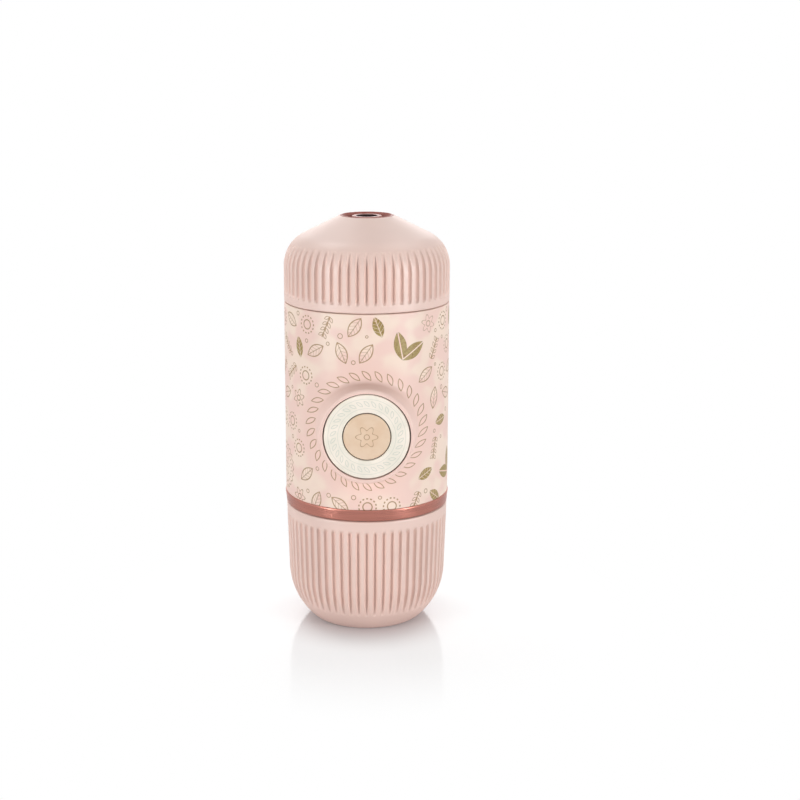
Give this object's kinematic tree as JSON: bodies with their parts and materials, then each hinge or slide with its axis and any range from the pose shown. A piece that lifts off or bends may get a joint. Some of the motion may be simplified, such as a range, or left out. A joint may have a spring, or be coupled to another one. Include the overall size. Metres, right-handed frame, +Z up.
{
  "type": "handheld manual espresso maker",
  "caption": "Hand-pumped espresso maker: fluted screw-on head with spout and coffee basket, pump body with push knob, screw-in water tank and a fluted drinking cup that fits over the tank.",
  "frame": {"origin": "centre of the flat foot of the cup, on the surface the object stands on", "axes": "+Z up along the body's axis to the spout, -Y towards the pump knob, +X to the right as seen from the knob's side"},
  "size_m": [0.0626, 0.0705, 0.1557],
  "materials": {
    "shell_print": "matt soft-touch, printed with a fine gold pattern",
    "pink_plastic": "matt moulded",
    "rose_metal": "brushed satin, dark rose",
    "rose_satin": "satin, dark rose",
    "dark_plastic": "matt moulded, dark brown",
    "cream_plastic": "satin, cream",
    "peach_plastic": "satin, peach",
    "grey_plastic": "fine-grained moulded, dark grey",
    "barrel_plastic": "smooth, off-white",
    "tank_plastic": "smooth, smoke grey",
    "silicone": "matt silicone, brick red",
    "tube_silicone": "milky silicone",
    "steel": "brushed stainless steel"
  },
  "bodies": {
    "main_body": {"body_shell": "shell_print", "accent_ring": "rose_metal", "tank_socket": "grey_plastic", "knob_guide": "dark_plastic", "brew_neck": "grey_plastic", "pump_cylinder": "barrel_plastic", "pump_cap": "barrel_plastic", "pump_gland": "barrel_plastic", "rod_seal": "silicone", "inlet_tube": "tube_silicone", "outlet_tube": "tube_silicone", "inlet_valve": "silicone", "outlet_valve": "silicone", "pump_carrier": "grey_plastic", "carrier_screws": "steel", "shower_screen": "steel", "screen_screw": "steel", "basket_gasket": "silicone", "return_spring": "steel"},
    "piston": {"piston_rod": "barrel_plastic", "piston_seal": "silicone", "knob_clip": "steel"},
    "knob": {"knob_shell": "dark_plastic", "knob_ring": "cream_plastic", "knob_disc": "peach_plastic"},
    "basket": {"filter_basket": "steel"},
    "head_seat": {"basket_seat_ring": "silicone"},
    "head": {"outlet_head": "pink_plastic", "head_core": "grey_plastic", "spout_insert": "rose_satin", "spout_nozzle": "dark_plastic"},
    "rim_seal": {"tank_seal": "silicone"},
    "grip_ring": {"cup_grip_ring": "silicone"},
    "tank": {"water_tank": "tank_plastic"},
    "cup": {"cup": "pink_plastic"}
  },
  "joints": [
    {"name": "piston_slide", "type": "slide", "parent": "main_body", "child": "piston", "axis": [0, -1, 0], "range_m": [0, 0.024], "deforming": ["return_spring"]},
    {"name": "knob_turn", "type": "hinge", "parent": "piston", "child": "knob", "pos_m": [0, -0.036, 0.0806], "axis": [0, -1, 0], "range_deg": [0, 45]},
    {"name": "basket_lift", "type": "slide", "parent": "main_body", "child": "basket", "axis": [0, 0, 1], "range_m": [0, 0.045]},
    {"name": "head_rise", "type": "slide", "parent": "basket", "child": "head_seat", "axis": [0, 0, 1], "range_m": [0, 0.006]},
    {"name": "head_turn", "type": "hinge", "parent": "head_seat", "child": "head", "pos_m": [0, 0, 0.13], "axis": [0, 0, 1], "range_deg": [0, 180]},
    {"name": "tank_off", "type": "slide", "parent": "main_body", "child": "rim_seal", "axis": [0, 0, -1], "range_m": [0, 0.05]},
    {"name": "tank_drop", "type": "slide", "parent": "rim_seal", "child": "grip_ring", "axis": [0, 0, -1], "range_m": [0, 0.006]},
    {"name": "tank_turn", "type": "hinge", "parent": "grip_ring", "child": "tank", "pos_m": [0, 0, 0.05], "axis": [0, 0, -1], "range_deg": [0, 180]},
    {"name": "cup_off", "type": "slide", "parent": "tank", "child": "cup", "axis": [0, 0, -1], "range_m": [0, 0.055]}
  ],
  "couplings": [
    {"joint": "head_rise", "follows": "head_turn", "m_per_rad": 0.0019099},
    {"joint": "tank_drop", "follows": "tank_turn", "m_per_rad": 0.0019099}
  ]
}
